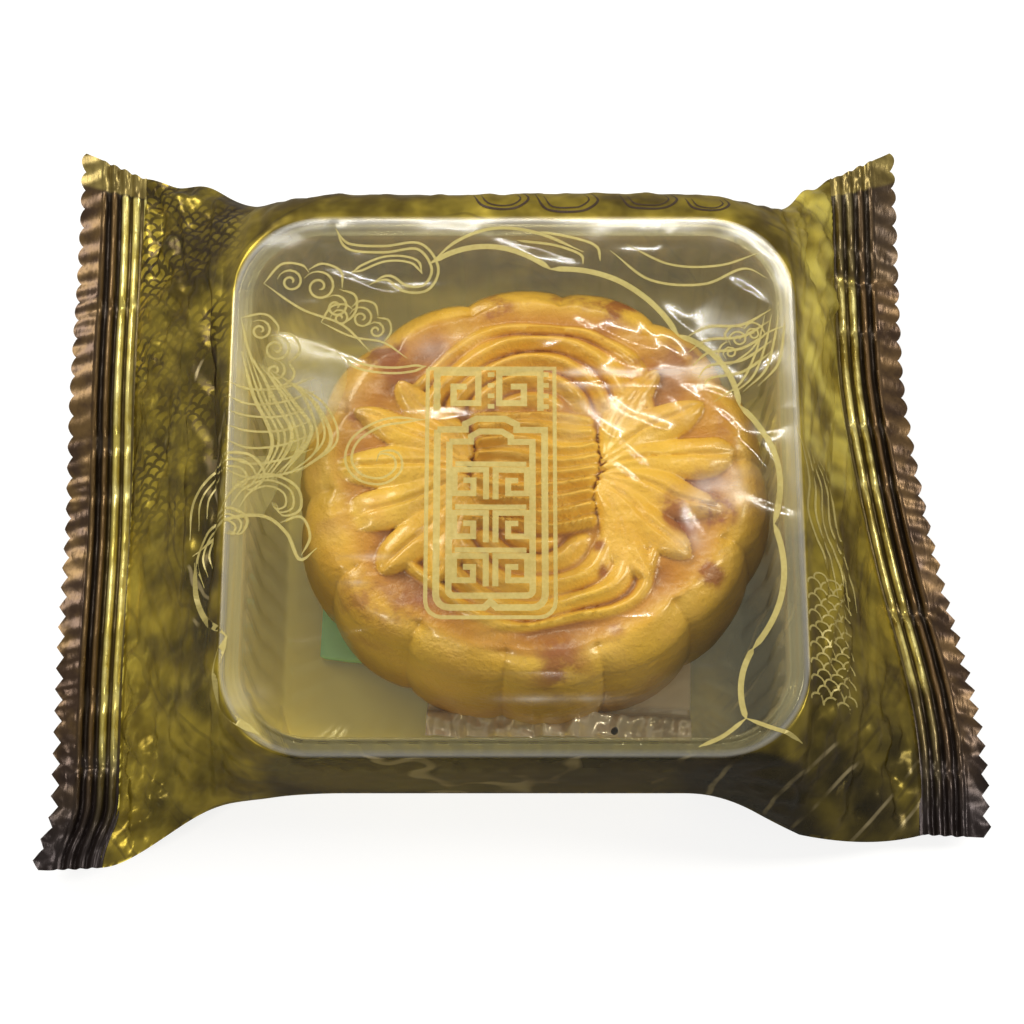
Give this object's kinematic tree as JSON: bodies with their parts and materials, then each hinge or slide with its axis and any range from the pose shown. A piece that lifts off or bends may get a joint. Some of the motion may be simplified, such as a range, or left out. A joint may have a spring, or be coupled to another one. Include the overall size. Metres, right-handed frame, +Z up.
{
  "type": "packed mooncake",
  "caption": "Round moulded mooncake in a square tray, sealed in a clear film pack with crimped, saw-toothed ends and pale gold line print.",
  "frame": {"origin": "middle of the pack's footprint, on the surface that it rests on", "axes": "+X from the left crimped seal to the right one, +Y towards the side of the pack that is far from the viewer, +Z up"},
  "size_m": [0.1447, 0.117, 0.034],
  "materials": {
    "film": "thin glossy film, clear on top and tinted olive gold at the sides",
    "seal": "glossy bronze-brown film, crimped in fine ribs",
    "print": "pale gold line print on the film",
    "tray": "thin clear thermoformed tray, tinted by the film below it",
    "crust": "golden baked crust with a satin egg glaze, darker on the low parts of its relief",
    "sachet": "small pale paper sachet with a mint green panel"
  },
  "bodies": {
    "root": {"pack": "film"}
  },
  "joints": []
}
